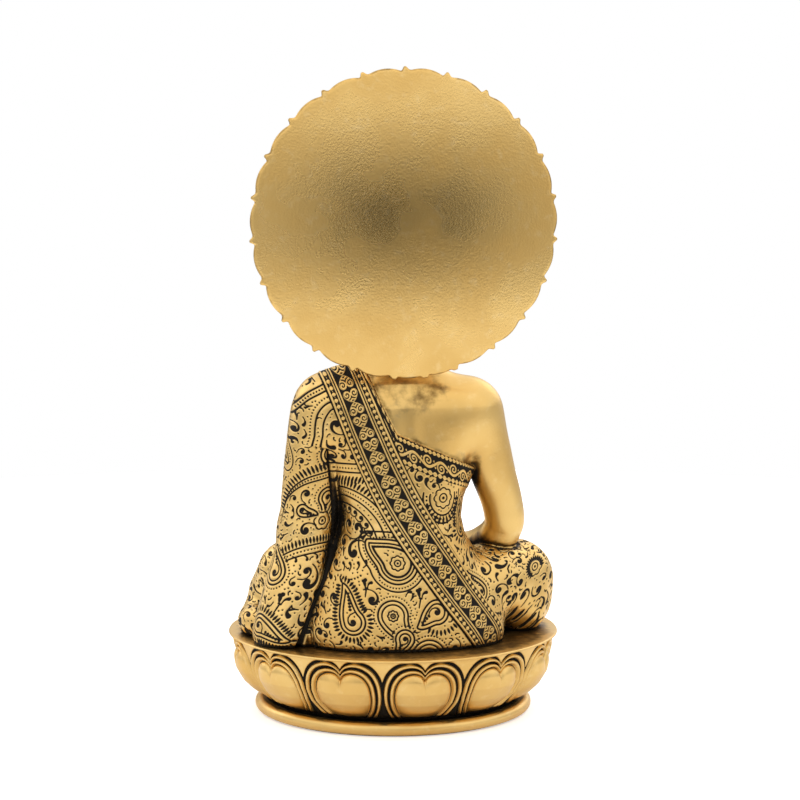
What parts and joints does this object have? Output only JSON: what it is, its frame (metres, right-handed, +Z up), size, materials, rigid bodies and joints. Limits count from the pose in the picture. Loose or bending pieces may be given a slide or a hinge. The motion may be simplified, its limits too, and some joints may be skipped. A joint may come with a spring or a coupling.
{
  "type": "seated buddha statue",
  "caption": "Seated meditating Buddha on a round lotus base, in antique gold, with a scalloped halo plugged into the back of the head.",
  "frame": {"origin": "centre of the underside of the base, on the surface it stands on", "axes": "+Z up, -Y the way the figure faces, +X towards the figure's left hand"},
  "size_m": [0.144, 0.144, 0.28],
  "materials": {
    "antique_gold": "cast resin with satin gold metallic paint and black patina in the recesses",
    "satin_gold": "cast resin with satin gold metallic paint, fine cast grain",
    "steel": "zinc-plated steel",
    "brass": "plain machined brass",
    "ballast": "rough casting",
    "felt": "black felt"
  },
  "bodies": {
    "statue": {"felt_pad": "felt", "foot_plate": "antique_gold", "base_washer": "steel", "base_screw": "steel", "ballast_weight": "ballast", "lotus_bowl": "antique_gold", "locating_pins": "steel", "figure_insert": "brass", "figure_body": "antique_gold", "neck_dowel": "steel", "head": "antique_gold", "halo_socket": "brass"},
    "halo": {"halo_peg": "brass", "halo_disc": "satin_gold"}
  },
  "joints": [
    {"name": "halo_pull", "type": "slide", "parent": "statue", "child": "halo", "axis": [0, 1, 0], "range_m": [0, 0.018]}
  ]
}
